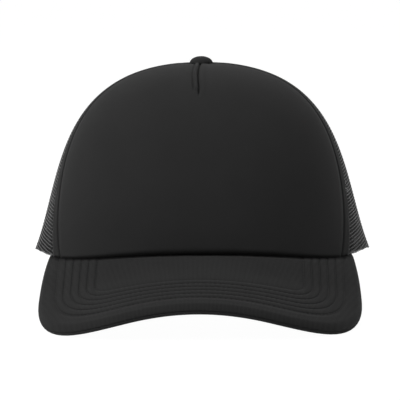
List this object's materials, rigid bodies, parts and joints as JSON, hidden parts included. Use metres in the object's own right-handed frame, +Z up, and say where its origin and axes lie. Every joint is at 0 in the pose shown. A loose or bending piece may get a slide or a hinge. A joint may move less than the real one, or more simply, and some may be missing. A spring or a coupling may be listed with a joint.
{
  "type": "trucker cap",
  "caption": "Trucker cap: padded front panel, mesh sides and back, stitched curved peak, covered button and plastic snap straps across the back opening.",
  "frame": {"origin": "middle of the head opening, level with the hem at the sides", "axes": "+Z up through the button, the wearer faces -Y, so the peak points along -Y and the wearer's left is +X"},
  "size_m": [0.192, 0.2523, 0.1429],
  "materials": {
    "face_cloth": "black woven polyester face, matt with a soft sheen",
    "under_cloth": "black woven polyester, matt",
    "foam": "black polyurethane foam sheet, laminated to cloth",
    "net": "black knitted nylon mesh, slightly shiny",
    "tape": "black woven seam tape",
    "binding": "black woven binding tape",
    "sweatband": "black brushed cotton band",
    "board": "white polyethylene sheet, hidden in the peak",
    "strap_plastic": "black moulded plastic, satin",
    "steel": "plain steel"
  },
  "bodies": {
    "crown": {"front_panel_fabric": "face_cloth", "front_panel_foam": "foam", "left_side_mesh": "net", "right_side_mesh": "net", "left_back_mesh": "net", "right_back_mesh": "net", "left_front_seam_tape": "tape", "right_front_seam_tape": "tape", "left_rear_seam_tape": "tape", "right_rear_seam_tape": "tape", "centre_back_seam_tape": "tape", "back_opening_binding": "binding", "sweatband": "sweatband", "peak_top_cover": "face_cloth", "peak_foam": "foam", "peak_board": "board", "peak_under_cover": "under_cloth", "hole_strap_tab": "strap_plastic", "stud_strap_tab": "strap_plastic", "button_cover": "face_cloth", "button_cap": "steel", "button_washer": "steel"},
    "hole_strap": {"hole_strap": "strap_plastic"},
    "stud_strap": {"stud_strap": "strap_plastic"}
  },
  "joints": [
    {"name": "hole_strap_bend", "type": "hinge", "parent": "crown", "child": "hole_strap", "pos_m": [0.03489, 0.08183, 0.011], "axis": [0.0787, 0.1768, -0.9811], "range_deg": [0, 90], "stiffness_Nm_per_rad": 0.02},
    {"name": "stud_strap_bend", "type": "hinge", "parent": "crown", "child": "stud_strap", "pos_m": [-0.03489, 0.08183, 0.011], "axis": [-0.0787, 0.1768, -0.9811], "range_deg": [0, 35], "stiffness_Nm_per_rad": 0.02}
  ]
}
